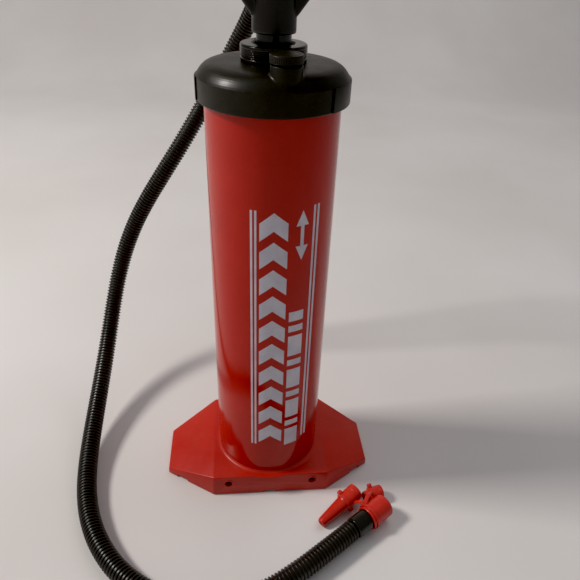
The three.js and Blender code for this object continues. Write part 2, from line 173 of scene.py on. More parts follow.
def round_corners(points, seg=4):
    """Closed (r, z[, radius]) polygon with its corners rounded, and support loops on long sides."""
    out = []
    n = len(points)
    for i, p in enumerate(points):
        rad = p[2] if len(p) > 2 else 0
        cur = np.array(p[:2], float)
        if rad <= 0:
            out.append(tuple(cur))
            continue
        a = np.array(points[i - 1][:2], float) - cur
        b = np.array(points[(i + 1) % n][:2], float) - cur
        la, lb = np.linalg.norm(a), np.linalg.norm(b)
        a, b = a / la, b / lb
        ang = math.acos(max(-1, min(1, float(a @ b))))
        if ang > math.pi - 0.05:
            out.append(tuple(cur))
            continue
        t = min(rad / math.tan(ang / 2), 0.46 * la, 0.46 * lb)
        rr = t * math.tan(ang / 2)
        c = cur + (a + b) / np.linalg.norm(a + b) * rr / math.sin(ang / 2)
        p0, p1 = cur + a * t - c, cur + b * t - c
        a0, a1 = math.atan2(p0[1], p0[0]), math.atan2(p1[1], p1[0])
        d = (a1 - a0 + math.pi) % (2 * math.pi) - math.pi
        for k in range(seg + 1):
            w = a0 + d * k / seg
            out.append((c[0] + rr * math.cos(w), c[1] + rr * math.sin(w)))
    full = []
    for i, p in enumerate(out):
        q = out[(i + 1) % len(out)]
        full.append(p)
        length = math.hypot(q[0] - p[0], q[1] - p[1])
        if length > 1.2 and not (p[0] < 1e-6 and q[0] < 1e-6):
            s = min(0.25, 0.12 * length) / length
            for w in (s, 1 - s):
                full.append((p[0] + (q[0] - p[0]) * w, p[1] + (q[1] - p[1]) * w))
    return full


def lathe(name, points, seg=96, m=None, corner=4, shape=None, smooth=35.0, raw=False):
    """Closed polygon turned about z. shape(r, z, angle) may change a point's radius."""
    prof = points if raw else round_corners(points, corner)
    n = len(prof)
    verts, ids = [], []
    for r, z in prof:
        if r < 1e-6:
            ids.append([len(verts)] * seg)
            verts.append((0, 0, z))
        else:
            row = []
            for k in range(seg):
                w = 2 * math.pi * k / seg
                rr = shape(r, z, w) if shape else r
                row.append(len(verts))
                verts.append((rr * math.cos(w), rr * math.sin(w), z))
            ids.append(row)
    faces = []
    for i in range(n):
        a, b = ids[i], ids[(i + 1) % n]
        if len(set(a)) == 1 and len(set(b)) == 1:
            continue
        for k in range(seg):
            k2 = (k + 1) % seg
            f = [a[k], a[k2], b[k2], b[k]]
            f = [v for j, v in enumerate(f) if v not in f[:j]]
            if len(f) > 2:
                faces.append(f)
    return new_obj(name, verts, faces, m, smooth)


def box(name, x0, x1, y0, y1, z0, z1, m=None):
    v = [(x, y, z) for x in (x0, x1) for y in (y0, y1) for z in (z0, z1)]
    f = [(0, 1, 3, 2), (4, 6, 7, 5), (0, 4, 5, 1), (2, 3, 7, 6), (0, 2, 6, 4), (1, 5, 7, 3)]
    return new_obj(name, v, f, m)


def bevelled(ob, width, seg=3, angle=30.0, smooth=35.0):
    mod = ob.modifiers.new("bevel", "BEVEL")
    mod.width = width * MM
    mod.segments = seg
    mod.limit_method = "ANGLE"
    mod.angle_limit = math.radians(angle)
    mod.harden_normals = False
    return bake(ob, smooth)


def prism(name, outline, z0, z1, m=None):
    """Solid of a closed outline between two heights."""
    n = len(outline)
    v = [(x, y, z0) for x, y in outline] + [(x, y, z1) for x, y in outline]
    f = [list(range(n))[::-1], list(range(n, 2 * n))]
    f += [[i, (i + 1) % n, n + (i + 1) % n, n + i] for i in range(n)]
    return new_obj(name, v, f, m)


def shift(x, y, z=0.0):
    return Matrix.Translation((x, y, z))


def turn(deg, x=0.0, y=0.0):
    return Matrix.Translation((x, y, 0)) @ Matrix.Rotation(math.radians(deg), 4, "Z")


def polar(r, deg):
    return r * math.cos(math.radians(deg)), r * math.sin(math.radians(deg))


# ------------------------------------------------------------------ materials
def srgb(r, g, b):
    return tuple(((c / 255) / 12.92 if c <= 10 else (((c / 255) + 0.055) / 1.055) ** 2.4) for c in (r, g, b)) + (1.0,)


class Nodes:
    def __init__(self, name):
        self.mat = bpy.data.materials.new(name)
        self.mat.use_nodes = True
        self.t = self.mat.node_tree
        self.t.nodes.clear()
        self.out = self.t.nodes.new("ShaderNodeOutputMaterial")
        self.bsdf = self.t.nodes.new("ShaderNodeBsdfPrincipled")
        self.t.links.new(self.bsdf.outputs[0], self.out.inputs[0])
        self.co = self.t.nodes.new("ShaderNodeTexCoord").outputs["Object"]

    def link(self, a, b):
        self.t.links.new(a, b)

    def scaled(self, x, y, z):
        n = self.t.nodes.new("ShaderNodeMapping")
        n.inputs["Scale"].default_value = (x, y, z)
        self.link(self.co, n.inputs["Vector"])
        return n.outputs["Vector"]

    def noise(self, scale, detail=3.0, rough=0.55, vec=None, distort=0.0):
        n = self.t.nodes.new("ShaderNodeTexNoise")
        n.inputs["Scale"].default_value = scale
        n.inputs["Detail"].default_value = detail
        n.inputs["Roughness"].default_value = rough
        n.inputs["Distortion"].default_value = distort
        self.link(vec or self.co, n.inputs["Vector"])
        return n.outputs["Fac"]

    def voronoi(self, scale, vec=None, feature="F1"):
        n = self.t.nodes.new("ShaderNodeTexVoronoi")
        n.feature = feature
        n.inputs["Scale"].default_value = scale
        self.link(vec or self.co, n.inputs["Vector"])
        return n.outputs["Distance"]

    def ramp(self, value, lo, hi, a=0.0, b=1.0):
        n = self.t.nodes.new("ShaderNodeMapRange")
        n.inputs["From Min"].default_value = lo
        n.inputs["From Max"].default_value = hi
        n.inputs["To Min"].default_value = a
        n.inputs["To Max"].default_value = b
        self.link(value, n.inputs["Value"])
        return n.outputs["Result"]

    def math(self, op, a, b):
        n = self.t.nodes.new("ShaderNodeMath")
        n.operation = op
        for i, v in enumerate((a, b)):
            if isinstance(v, (int, float)):
                n.inputs[i].default_value = v
            else:
                self.link(v, n.inputs[i])
        return n.outputs[0]

    def mix(self, fac, a, b):
        n = self.t.nodes.new("ShaderNodeMix")
        n.data_type = "RGBA"
        n.clamp_factor = True
        self.link(fac, n.inputs["Factor"])
        for s, v in (("A", a), ("B", b)):
            sock = [i for i in n.inputs if i.name == s and i.type == "RGBA"][0]
            if isinstance(v, tuple):
                sock.default_value = v
            else:
                self.link(v, sock)
        return [o for o in n.outputs if o.type == "RGBA"][0]

    def bump(self, height, strength, distance, chain=None):
        n = self.t.nodes.new("ShaderNodeBump")
        n.inputs["Strength"].default_value = strength
        n.inputs["Distance"].default_value = distance
        self.link(height, n.inputs["Height"])
        if chain is not None:
            self.link(chain, n.inputs["Normal"])
        return n.outputs["Normal"]

    def z(self):
        n = self.t.nodes.new("ShaderNodeSeparateXYZ")
        self.link(self.co, n.inputs[0])
        return n.outputs["Z"]


def plastic(name, deep, light, rough, grain=0.0, grain_scale=900.0, scratch=0.25, dust=0.0, coat=0.0,
            coat_rough=0.1, spec=0.5, sss=0.0, wave=0.0, dust_colour=(0.42, 0.39, 0.35, 1.0), var=0.05, streak=(1, 1, 0.12)):
    """Moulded or extruded plastic: flow clouding, fine grain, scuffs and a little dust."""
    k = Nodes(name)
    b = k.bsdf
    cloud = k.noise(18.0, 4.0, 0.6, distort=0.4)
    fine = k.noise(420.0, 2.0, 0.5)
    both = k.math("ADD", k.math("MULTIPLY", cloud, 0.75), k.math("MULTIPLY", fine, 0.25))
    colour = k.mix(k.ramp(both, 0.35, 0.65), deep, light)
    marks = k.noise(260.0, 5.0, 0.7, vec=k.scaled(*streak))
    scuff = k.ramp(marks, 0.60, 0.74)
    patch = k.ramp(k.noise(26.0, 3.0, 0.6), 0.48, 0.68)
    scuffed = k.math("MULTIPLY", k.math("MULTIPLY", scuff, patch), scratch)
    if dust > 0:
        specks = k.ramp(k.noise(700.0, 2.0, 0.6), 0.60, 0.72)
        film = k.ramp(k.noise(34.0, 5.0, 0.65), 0.45, 0.75)
        amount = k.math("MULTIPLY", k.math("ADD", k.math("MULTIPLY", specks, 0.7), k.math("MULTIPLY", film, 0.5)), dust)
        colour = k.mix(amount, colour, dust_colour)
    k.link(k.mix(scuffed, colour, tuple(min(1.0, c * 1.9 + 0.02) for c in light[:3]) + (1.0,)), b.inputs["Base Color"])
    r = k.math("ADD", k.ramp(k.noise(55.0, 4.0, 0.6), 0.3, 0.7, rough - var, rough + var), k.math("MULTIPLY", scuffed, 0.25))
    k.link(r, b.inputs["Roughness"])
    normal = None
    if wave > 0:
        normal = k.bump(k.noise(30.0, 1.0, 0.4), wave, 0.0010)
    if grain > 0:
        normal = k.bump(k.noise(grain_scale, 3.0, 0.6), grain, 0.0002, normal)
    normal = k.bump(marks, 0.06 * scratch * 4, 0.0001, normal)
    k.link(normal, b.inputs["Normal"])
    b.inputs["Specular IOR Level"].default_value = spec
    if coat > 0:
        b.inputs["Coat Weight"].default_value = coat
        b.inputs["Coat Roughness"].default_value = coat_rough
    if sss > 0:
        b.inputs["Subsurface Weight"].default_value = sss
        b.inputs["Subsurface Radius"].default_value = (0.004, 0.0012, 0.0008)
        b.inputs["Subsurface Scale"].default_value = 1.0
    return k.mat


RED_GLOSS = plastic("red_gloss_pipe", (0.42, 0.0105, 0.0042, 1), (0.48, 0.0155, 0.0062, 1), 0.15, grain=0.02, grain_scale=500,
                    scratch=0.22, coat=0.05, coat_rough=0.05, wave=0.03, var=0.03, spec=0.29)
RED_BASE = plastic("red_moulded", (0.46, 0.016, 0.0085, 1), (0.53, 0.024, 0.012, 1), 0.34, grain=0.10, grain_scale=1300,
                   scratch=0.35, dust=0.04, var=0.06, streak=(0.3, 1, 1), spec=0.42)
RED_NOZZLE = plastic("red_soft_nozzle", (0.50, 0.018, 0.011, 1), (0.60, 0.032, 0.018, 1), 0.30, grain=0.06, grain_scale=1500,
                     scratch=0.30, sss=0.12, var=0.06, streak=(1, 1, 0.4))
BLACK_CAP = plastic("black_moulded", (0.0100, 0.0092, 0.0062, 1), (0.0165, 0.0152, 0.0105, 1), 0.34, grain=0.18, grain_scale=1500,
                    scratch=0.30, dust=0.030, var=0.05, streak=(1, 1, 1), spec=0.24)
BLACK_HANDLE = plastic("black_handle", (0.0070, 0.0064, 0.0048, 1), (0.0120, 0.0108, 0.0085, 1), 0.33, grain=0.20, grain_scale=1400,
                       scratch=0.35, dust=0.03, var=0.06, streak=(0.4, 1, 1))
BLACK_ROD = plastic("black_gloss_rod", (0.0060, 0.0056, 0.0046, 1), (0.0100, 0.0094, 0.0078, 1), 0.20, grain=0.03, grain_scale=700,
                    scratch=0.45, coat=0.3, coat_rough=0.1, wave=0.02, var=0.05)
BLACK_HOSE = plastic("black_hose", (0.0080, 0.0068, 0.0050, 1), (0.0150, 0.0130, 0.0100, 1), 0.34, grain=0.10, grain_scale=1600,
                     scratch=0.35, dust=0.07, var=0.07, streak=(1, 1, 1), dust_colour=(0.20, 0.16, 0.12, 1))
BLACK_SMOOTH = plastic("black_smooth", (0.0075, 0.0068, 0.0052, 1), (0.0120, 0.0110, 0.0085, 1), 0.17, grain=0.04, grain_scale=1200,
                       scratch=0.30, dust=0.015, var=0.03, coat=0.12, coat_rough=0.07, spec=0.38)
RUBBER = plastic("rubber", (0.010, 0.010, 0.010, 1), (0.020, 0.019, 0.018, 1), 0.62, grain=0.25, grain_scale=1800,
                 scratch=0.25, dust=0.06, var=0.06)
WHITE_BUSH = plastic("white_bush", (0.62, 0.60, 0.54, 1), (0.74, 0.72, 0.66, 1), 0.38, grain=0.08, grain_scale=900,
                     scratch=0.2, dust=0.05, var=0.06, sss=0.05)


def print_material():
    """Screen-printed ink: slightly uneven cover, worn here and there."""
    k = Nodes("print_ink")
    b = k.bsdf
    base = k.mix(k.ramp(k.noise(60.0, 4.0, 0.6), 0.35, 0.65), (0.54, 0.52, 0.60, 1), (0.66, 0.64, 0.70, 1))
    worn = k.math("MULTIPLY", k.ramp(k.noise(900.0, 3.0, 0.7), 0.60, 0.72), k.ramp(k.noise(35.0, 3.0, 0.6), 0.50, 0.72))
    k.link(k.mix(worn, base, (0.48, 0.10, 0.09, 1)), b.inputs["Base Color"])
    k.link(k.ramp(k.noise(120.0, 3.0, 0.6), 0.3, 0.7, 0.30, 0.42), b.inputs["Roughness"])
    k.link(k.bump(k.noise(1500.0, 2.0, 0.6), 0.08, 0.00008), b.inputs["Normal"])
    return k.mat


def steel_material():
    k = Nodes("zinc_screw")
    b = k.bsdf
    k.link(k.mix(k.ramp(k.noise(300.0, 5.0, 0.7), 0.4, 0.66), (0.50, 0.50, 0.50, 1), (0.30, 0.28, 0.25, 1)), b.inputs["Base Color"])
    k.link(k.ramp(k.noise(500.0, 4.0, 0.7), 0.3, 0.7, 0.24, 0.46), b.inputs["Roughness"])
    k.link(k.bump(k.noise(1800.0, 3.0, 0.6), 0.15, 0.0001), b.inputs["Normal"])
    b.inputs["Metallic"].default_value = 1.0
    return k.mat


PRINT = print_material()
STEEL = steel_material()


def finish_piece(ob, body, mat, nodes=()):
    ob.data.materials.clear()
    ob.data.materials.append(mat)
    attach(ob, body)
    if nodes:
        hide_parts(*nodes)
    return ob


# ------------------------------------------------------------------ hose
HOSE_R, VALLEY_R, PITCH = 9.5, 8.0, 3.45
HOSE_POINTS = [
    (0, 52.3, 468), (0.2, 85.2, 467.8), (1.9, 118, 464.7), (3.3, 149.3, 454.9), (0.5, 176, 436.1), (-9.2, 193.6, 410.3),
    (-24, 201.3, 382), (-40.7, 201.8, 353.6), (-57.8, 198.2, 325.6), (-75.2, 193.1, 298.2), (-93.3, 188.6, 271), (-111.8, 185.6, 243.9),
    (-129.9, 183.6, 216.4), (-146.3, 180.8, 188.1), (-159.8, 174.7, 158.7), (-169.8, 163.7, 129.3), (-176.6, 147.2, 101.7), (-181.1, 125.7, 77.2),
    (-184.3, 100.2, 56.7), (-186.6, 71.8, 40.2), (-187.9, 41.4, 27.6), (-187.9, 9.8, 18.5), (-185.9, -22.6, 12.8), (-180.5, -55, 10.3),
    (-170.3, -86.3, 9.9), (-154.5, -115.1, 10), (-132.9, -139.9, 9.9), (-105.9, -158.7, 9.9), (-74.9, -169.5, 9.9), (-42.1, -171, 9.9),
    (-10.1, -163.3, 10.5), (19.3, -148.7, 12), (47, -130.9, 12.8), (74.2, -112.3, 12.9)]


def centripetal(points, per=60):
    p = [np.array(q, float) for q in points]
    p = [2 * p[0] - p[1]] + p + [2 * p[-1] - p[-2]]
    out = []
    for i in range(1, len(p) - 2):
        a, b, c, d = p[i - 1], p[i], p[i + 1], p[i + 2]
        t0 = 0.0
        t1 = t0 + max(np.linalg.norm(b - a), 1e-6) ** 0.5
        t2 = t1 + max(np.linalg.norm(c - b), 1e-6) ** 0.5
        t3 = t2 + max(np.linalg.norm(d - c), 1e-6) ** 0.5
        for t in np.linspace(t1, t2, per, endpoint=False):
            a1 = (t1 - t) / (t1 - t0) * a + (t - t0) / (t1 - t0) * b
            a2 = (t2 - t) / (t2 - t1) * b + (t - t1) / (t2 - t1) * c
            a3 = (t3 - t) / (t3 - t2) * c + (t - t2) / (t3 - t2) * d
            b1 = (t2 - t) / (t2 - t0) * a1 + (t - t0) / (t2 - t0) * a2
            b2 = (t3 - t) / (t3 - t1) * a2 + (t - t1) / (t3 - t1) * a3
            out.append((t2 - t) / (t2 - t1) * b1 + (t - t1) / (t2 - t1) * b2)
    out.append(p[-2])
    return np.array(out)


def make_hose():
    line = centripetal(HOSE_POINTS)
    step = np.linalg.norm(np.diff(line, axis=0), axis=1)
    s = np.concatenate([[0], np.cumsum(step)])
    total = s[-1]
    plain = 0.9
    ribs = int(round((total - 2 * plain) / PITCH))
    pitch = (total - 2 * plain) / ribs
    where, radius = [], []
    for w, rr in ((0.0, 7.6), (0.5, VALLEY_R)):
        where.append(w)
        radius.append(rr)
    shape = ((0.20, 0.04), (0.28, 0.50), (0.36, 0.88), (0.45, 1.0), (0.57, 1.0), (0.66, 0.88), (0.74, 0.50), (0.82, 0.04), (1.0, 0.0))
    for i in range(ribs):
        for f, h in shape:
            where.append(plain + (i + f) * pitch)
            radius.append(VALLEY_R + (HOSE_R - VALLEY_R) * h)
    for w, rr in ((0.4, VALLEY_R), (plain, 7.6)):
        where.append(total - plain + w)
        radius.append(rr)
    where, radius = np.array(where), np.array(radius)
    pts = np.stack([np.interp(where, s, line[:, k]) for k in range(3)], 1)
    ahead = np.stack([np.interp(np.minimum(where + 2, total), s, line[:, k]) for k in range(3)], 1)
    behind = np.stack([np.interp(np.maximum(where - 2, 0), s, line[:, k]) for k in range(3)], 1)
    tan = ahead - behind
    tan /= np.linalg.norm(tan, axis=1)[:, None]
    n0 = np.array([1.0, 0, 0])
    normals = []
    for t in tan:
        n0 = n0 - t * (n0 @ t)
        n0 /= np.linalg.norm(n0)
        normals.append(n0.copy())
    normals = np.array(normals)
    side = np.cross(tan, normals)
    seg = 24
    w = np.arange(seg) * 2 * math.pi / seg
    ring = np.cos(w)[None, :, None] * normals[:, None, :] + np.sin(w)[None, :, None] * side[:, None, :]
    verts = pts[:, None, :] + ring * radius[:, None, None]
    rows = len(pts)
    verts = verts.reshape(-1, 3).tolist()
    faces = []
    for i in range(rows - 1):
        for k in range(seg):
            k2 = (k + 1) % seg
            faces.append((i * seg + k, i * seg + k2, (i + 1) * seg + k2, (i + 1) * seg + k))
    faces.append(tuple(range(seg))[::-1])
    faces.append(tuple((rows - 1) * seg + k for k in range(seg)))
    ob = new_obj("hose_corrugated", verts, faces, smooth=60)
    ob.data.materials.append(BLACK_HOSE)
    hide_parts("hose")
    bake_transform(ob)
    path = np.stack([np.interp(np.arange(0, total + 1e-6, total / 400), s, line[:, k]) for k in range(3)], 1) * MM
    return ob, path


hose, hose_path = make_hose()

# ------------------------------------------------------------------ hose end: cuff and nozzles
END_DIR = (0.826, 0.5637, 0)
END_M = place((74.2, -112.3, 12.9), END_DIR)
MED_M = place((98.3, -72.6, 8.1), (0.97, 0.24, 0))
SMALL_M = place((70.5, -81.4, 10.9), (-0.796, -0.567, -0.19))

cuff = lathe("hose_cuff", [(7.0, 0.35), (8.9, 0.35, 0.4), (9.75, 1.2, 0.6), (9.9, 3.5, 0.5), (9.9, 16.4, 0.5), (9.6, 17.4, 0.3), (9.6, 29.0, 0.3), (7.0, 29.0)], 96, END_M)
finish_piece(cuff, "barrel", BLACK_SMOOTH, ["hose_end_cuff"])


def lobe(name, m, w, r0, r1, z0, z1, deg):
    """Rounded grip ear standing out from a nozzle's flange."""
    out = [(r0, w), (r0, -w)]
    for k in range(15):
        a = -math.pi / 2 + math.pi * k / 14
        out.append((r1 - w + w * math.cos(a), w * math.sin(a)))
    ob = prism(name, out, z0, z1, m @ Matrix.Rotation(math.radians(deg), 4, "Z"))
    return bevelled(ob, 0.8, 4, 40)


large = lathe("nozzle_large_shell", [(9.95, 18.0, 0.2), (11.0, 18.0, 0.3), (11.4, 18.5, 0.3), (11.4, 20.3, 0.3), (11.15, 24.3, 0.2), (11.3, 26.0, 0.4), (11.2, 36.4, 0.3),
                                     (10.7, 37.0, 0.3), (10.9, 37.9, 0.3), (10.9, 42.5, 0.6), (10.4, 43.2, 0.4), (7.9, 43.2, 0.4), (7.6, 42.8, 0.2), (7.6, 30.5), (9.95, 30.5)], 80, END_M)
finish_piece(large, "nozzle_set", RED_NOZZLE, ["nozzle_large"])

med = lathe("nozzle_medium_shell", [(3.4, -6.3, 0.3), (4.5, -6.3, 0.5), (5.6, -0.3, 0.4), (7.0, -0.05, 0.3), (7.6, 0.5, 0.4), (7.6, 2.3, 0.4), (7.25, 2.9, 0.3), (7.15, 9.9, 0.2), (6.95, 10.2, 0.15),
                                    (7.15, 10.5, 0.2), (7.2, 12.6, 0.5), (6.8, 13.35, 0.4), (5.7, 13.4, 0.3), (5.4, 13.0, 0.2), (5.4, 1.0), (3.7, -1.0)], 72, MED_M)
med = join("nozzle_medium_part", [med, lobe("lobe_m", MED_M, 2.4, 6.2, 10.8, 0.1, 4.2, 45)])
finish_piece(med, "nozzle_set", RED_NOZZLE, ["nozzle_medium"])

small = lathe("nozzle_small_shell", [(5.2, -18.0, 0.2), (7.9, -18.0, 0.5), (8.3, -17.3, 0.4), (8.3, -12.4, 0.3), (8.05, -12.0, 0.2), (8.05, -11.2, 0.2), (8.3, -10.8, 0.3), (8.3, -2.9, 0.5), (8.8, -2.4, 0.3),
                                     (9.2, -1.9, 0.3), (9.2, -0.5, 0.4), (8.8, 0, 0.3), (7.8, 0.1, 0.3), (7.0, 1.6, 1.4), (6.0, 14.0), (4.85, 27.6, 0.8), (4.55, 29.3, 0.9),
                                     (3.8, 30.7, 0.9), (2.5, 31.0, 0.2), (2.2, 30.6, 0.1), (3.6, 1.0), (5.2, -3.0)], 72, SMALL_M)
small = join("nozzle_small_part", [small, lobe("lobe_s", SMALL_M, 2.7, 7.2, 11.9, -4.4, -0.1, 137), lobe("lobe_t", SMALL_M, 2.7, 7.2, 11.9, -4.4, -0.1, 317)])
finish_piece(small, "nozzle_set", RED_NOZZLE, ["nozzle_small"])


def strap(name, points, width, thick):
    line = centripetal(points, 10)
    t = np.gradient(line, axis=0)
    t /= np.linalg.norm(t, axis=1)[:, None]
    verts, faces = [], []
    n = 12
    for p, d in zip(line, t):
        s = np.cross(d, [0, 0, 1.0])
        s /= np.linalg.norm(s)
        u = np.cross(s, d)
        for k in range(n):
            a = 2 * math.pi * k / n
            c, q = math.cos(a), math.sin(a)
            verts.append(p + s * width / 2 * np.sign(c) * abs(c) ** 0.6 + u * thick / 2 * np.sign(q) * abs(q) ** 0.6)
    for i in range(len(line) - 1):
        for k in range(n):
            k2 = (k + 1) % n
            faces.append((i * n + k, i * n + k2, (i + 1) * n + k2, (i + 1) * n + k))
    faces.append(tuple(range(n))[::-1])
    faces.append(tuple((len(line) - 1) * n + k for k in range(n)))
    return new_obj(name, verts, faces, smooth=60)


tie = join("nozzle_tie_part", [
    lathe("tie_ring", [(11.5, 20.7, 0.3), (12.2, 20.7, 0.4), (12.4, 22.2, 0.3), (12.2, 23.7, 0.4), (11.5, 23.7, 0.3)], 72, END_M),
    strap("tie_a", [(87.8, -92.9, 21.2), (85.6, -90.4, 21.8), (82.8, -87.6, 19.4), (80.6, -85.4, 15.6)], 4.2, 2.1),
    strap("tie_b", [(87.8, -92.9, 21.2), (91.0, -87.2, 22.0), (95.2, -80.4, 20.2), (98.4, -75.6, 16.2)], 4.2, 2.1)])
finish_piece(tie, "nozzle_set", RED_NOZZLE, ["nozzle_tie"])

# ------------------------------------------------------------------ foot plate
BW, BE, BG, BD, BHE, BH, BT = 104.7, 26.0, 57.0, 56.0, 6.7, 24.0, 2.6


def hull(name, w, e, g, d0, d1, he, h, z0):
    o0 = [(-g, -d0), (g, -d0), (w, -e), (w, e), (g, d0), (-g, d0), (-w, e), (-w, -e)]
    o1 = [(-g, -d1), (g, -d1), (w - 0.5, -e), (w - 0.5, e), (g, d1), (-g, d1), (-w + 0.5, e), (-w + 0.5, -e)]
    tops = [h, h, he, he, h, h, he, he]
    v = [(x, y, z0) for x, y in o0] + [(x, y, z) for (x, y), z in zip(o1, tops)]
    f = [tuple(range(8))[::-1], (8, 9, 12, 13), (9, 10, 11, 12), (8, 13, 14, 15)]
    f += [(i, (i + 1) % 8, 8 + (i + 1) % 8, 8 + i) for i in range(8)]
    return new_obj(name, v, f)


def make_base():
    base = hull("foot_plate", BW, BE, BG, 56.6, 55.2, BHE, BH, 0.0)
    base = bevelled(base, 1.2, 4, 12)
    inner = hull("inner", BW - BT, BE - 1.1, BG - 1.4, 54.0, 52.6, BHE - BT, BH - BT, -1.0)
    boolean(base, inner)
    ribs = []
    for a in (0, 180, 35, 145, 215, 325):
        r = box("rib", 52.2, 108, -1.1, 1.1, 3.0, 30, turn(a))
        cut = hull("cut", BW - 1.2, BE - 0.5, BG - 0.7, 55.2, 54.0, BHE - 1.0, BH - 1.0, 2.9)
        ribs.append(boolean(r, cut, "INTERSECT"))
    for r in ribs:
        boolean(base, r, "UNION")
    ring = lathe("socket", [(50.86, 3.2), (53.4, 3.2), (53.4, 22.2), (57.5, 22.9), (56.6, 23.9, 0.5), (54.4, 24.06), (53.0, 24.32), (52.05, 24.75), (51.45, 25.3), (51.12, 26.1, 0.1), (50.86, 26.3)], 192)
    boolean(base, ring, "UNION")
    floor = lathe("floor", [(34, 3.2, 0.4), (53.2, 3.2), (53.2, 5.0), (34, 5.0, 0.4)], 128)
    boolean(base, floor, "UNION")
    boolean(base, lathe("bore", [(0, 5.0), (50.86, 5.0), (50.86, 40), (0, 40)], 192, raw=True))
    for sx in (-1, 1):
        for sy in (-1, 1):
            m = place((sx * 42.0, sy * 50.0, 14.8), (0, sy, 0))
            boolean(base, lathe("boss", [(0, 2.4), (5.0, 2.4), (5.0, 5.9, 0.3), (4.5, 6.1, 0.2), (0, 6.1)], 40, m), "UNION")
            boolean(base, lathe("hole", [(0, -1), (3.5, -1), (3.5, 5.6), (3.8, 6.2), (3.8, 9), (0, 9)], 48, m, raw=True))
    cuts = []
    for sy in (-1, 1):
        cuts.append(box("n", -6.4, 6.4, 50 if sy > 0 else -60, 60 if sy > 0 else -50, -1, 3.1))
        for sx in (-1, 1):
            ang = math.degrees(math.atan2(sy * (BD - BE), -sx * (BW - BG)))
            cuts.append(box("n", -6.5, 6.5, -5, 5, -1, 3.4, turn(ang, sx * 89.7, sy * 35.4)))
    for c in cuts:
        boolean(base, c)
    for a in (45, 135, 225, 315):
        x, y = polar(43, a)
        boolean(base, lathe("screw_hole", [(0, 2), (2.3, 2), (2.3, 6), (0, 6)], 32, shift(x, y), raw=True))
    base.name = "foot_plate"
    return tidy(base, 28)


finish_piece(make_base(), "barrel", RED_BASE, ["base_foot"])

for i, a in enumerate((45, 135, 225, 315)):
    x, y = polar(43, a)
    s = lathe(f"foot_screw_{i + 1}", [(0, 1.15), (2.6, 1.25, 0.4), (3.95, 2.2, 0.3), (3.95, 2.9, 0.2), (1.8, 2.9), (1.8, 14.4, 0.3), (0, 14.4)], 40)
    boolean(s, box("slot", -2.4, 2.4, -0.42, 0.42, 0, 2.0))
    boolean(s, box("slot", -0.42, 0.42, -2.4, 2.4, 0, 2.0))
    s.data.transform(Matrix.Translation((x * MM, y * MM, 0)))
    finish_piece(s, "barrel", STEEL, [f"base_screw_{i + 1}"])

# ------------------------------------------------------------------ barrel
tube = lathe("barrel_shell", [(48.5, 8.0, 0.3), (50.8, 8.0, 0.5), (50.8, 60), (50.8, 150), (50.8, 240), (50.8, 330), (50.8, 386.0, 0.5), (48.5, 386.0, 0.3)], 192)
finish_piece(tube, "barrel", RED_GLOSS, ["barrel_tube"])


def patch(name, a0, a1, lo, hi, step=1.0):
    """Thin printed patch on the barrel between two angles from the front; lo and hi give its ends in z."""
    n = max(2, int(math.ceil((a1 - a0) / step)))
    verts, faces = [], []
    for i in range(n + 1):
        a = a0 + (a1 - a0) * i / n
        z0, z1 = (lo(a) if callable(lo) else lo), (hi(a) if callable(hi) else hi)
        w = math.radians(a)
        for r in (50.805, 50.86):
            for z in (z0, z1):
                verts.append((r * math.sin(w), -r * math.cos(w), z))
    for i in range(n):
        p, q = 4 * i, 4 * (i + 1)
        faces += [(p + 2, q + 2, q + 3, p + 3), (p, p + 1, q + 1, q), (p, q, q + 2, p + 2), (p + 1, p + 3, q + 3, q + 1)]
    faces += [(0, 2, 3, 1), (4 * n, 4 * n + 1, 4 * n + 3, 4 * n + 2)]
    return new_obj(name, verts, faces, smooth=30)


def make_print():
    parts = [patch("p", -21.7, -19.7, 64, 310), patch("p", -17.9, -16.0, 64, 310),
             patch("p", 35.2, 37.5, 65, 311), patch("p", 39.6, 42.0, 65, 311)]
    # column of air-flow chevrons
    a0, a1 = -13.5, 11.0
    mid = (a0 + a1) / 2
    rise, thick, pitch = 9.0, 15.0, 24.2
    z = 67.0
    while z + thick + rise < 310:
        for s0, s1 in ((a0, mid), (mid, a1)):
            def low(a, z=z):
                return z + rise * (1 - abs(a - mid) / (a1 - mid))

            def high(a, z=z):
                return z + thick + rise * (1 - abs(a - mid) / (a1 - mid))

            parts.append(patch("p", s0, s1, low, high))
        z += pitch
    # second column: plain bars
    z = 61.0
    for length in (26, 11, 26, 11, 26, 11, 26, 11, 14):
        parts.append(patch("p", 14.5, 29.5, z, z + length - 4.5))
        z += length
    # two-way stroke sign
    parts.append(patch("p", 22.6, 25.9, 277, 299))
    parts.append(patch("p", 18.2, 24.25, lambda a: 296.5, lambda a: 296.5 + 12.5 * (a - 18.2) / 6.05))
    parts.append(patch("p", 24.25, 30.3, lambda a: 296.5, lambda a: 296.5 + 12.5 * (30.3 - a) / 6.05))
    parts.append(patch("p", 18.2, 24.25, lambda a: 279.5 - 12.5 * (a - 18.2) / 6.05, lambda a: 279.5))
    parts.append(patch("p", 24.25, 30.3, lambda a: 279.5 - 12.5 * (30.3 - a) / 6.05, lambda a: 279.5))
    return join("barrel_print", parts, 30)


finish_piece(make_print(), "barrel", PRINT)

# ------------------------------------------------------------------ cap
CAP_TOP = 404.1
CROWN_R = [0, 24.5, 32.0, 38.0, 42.0, 44.5, 46.5, 48.3, 49.7, 50.9, 52.0, 53.0, 53.9, 54.75, 55.5]
CROWN_Z = [404.1, 404.1, 403.95, 403.65, 403.3, 402.95, 402.45, 401.8, 401.05, 400.15, 399.1, 397.95, 396.75, 395.45, 394.1]
BOSS = (5.6, -42.5)
BOSS_R = 10.9


def crown(r, drop=0.0):
    """Height of the cap's nearly flat crown at a radius."""
    return float(np.interp(r, CROWN_R, CROWN_Z)) - drop


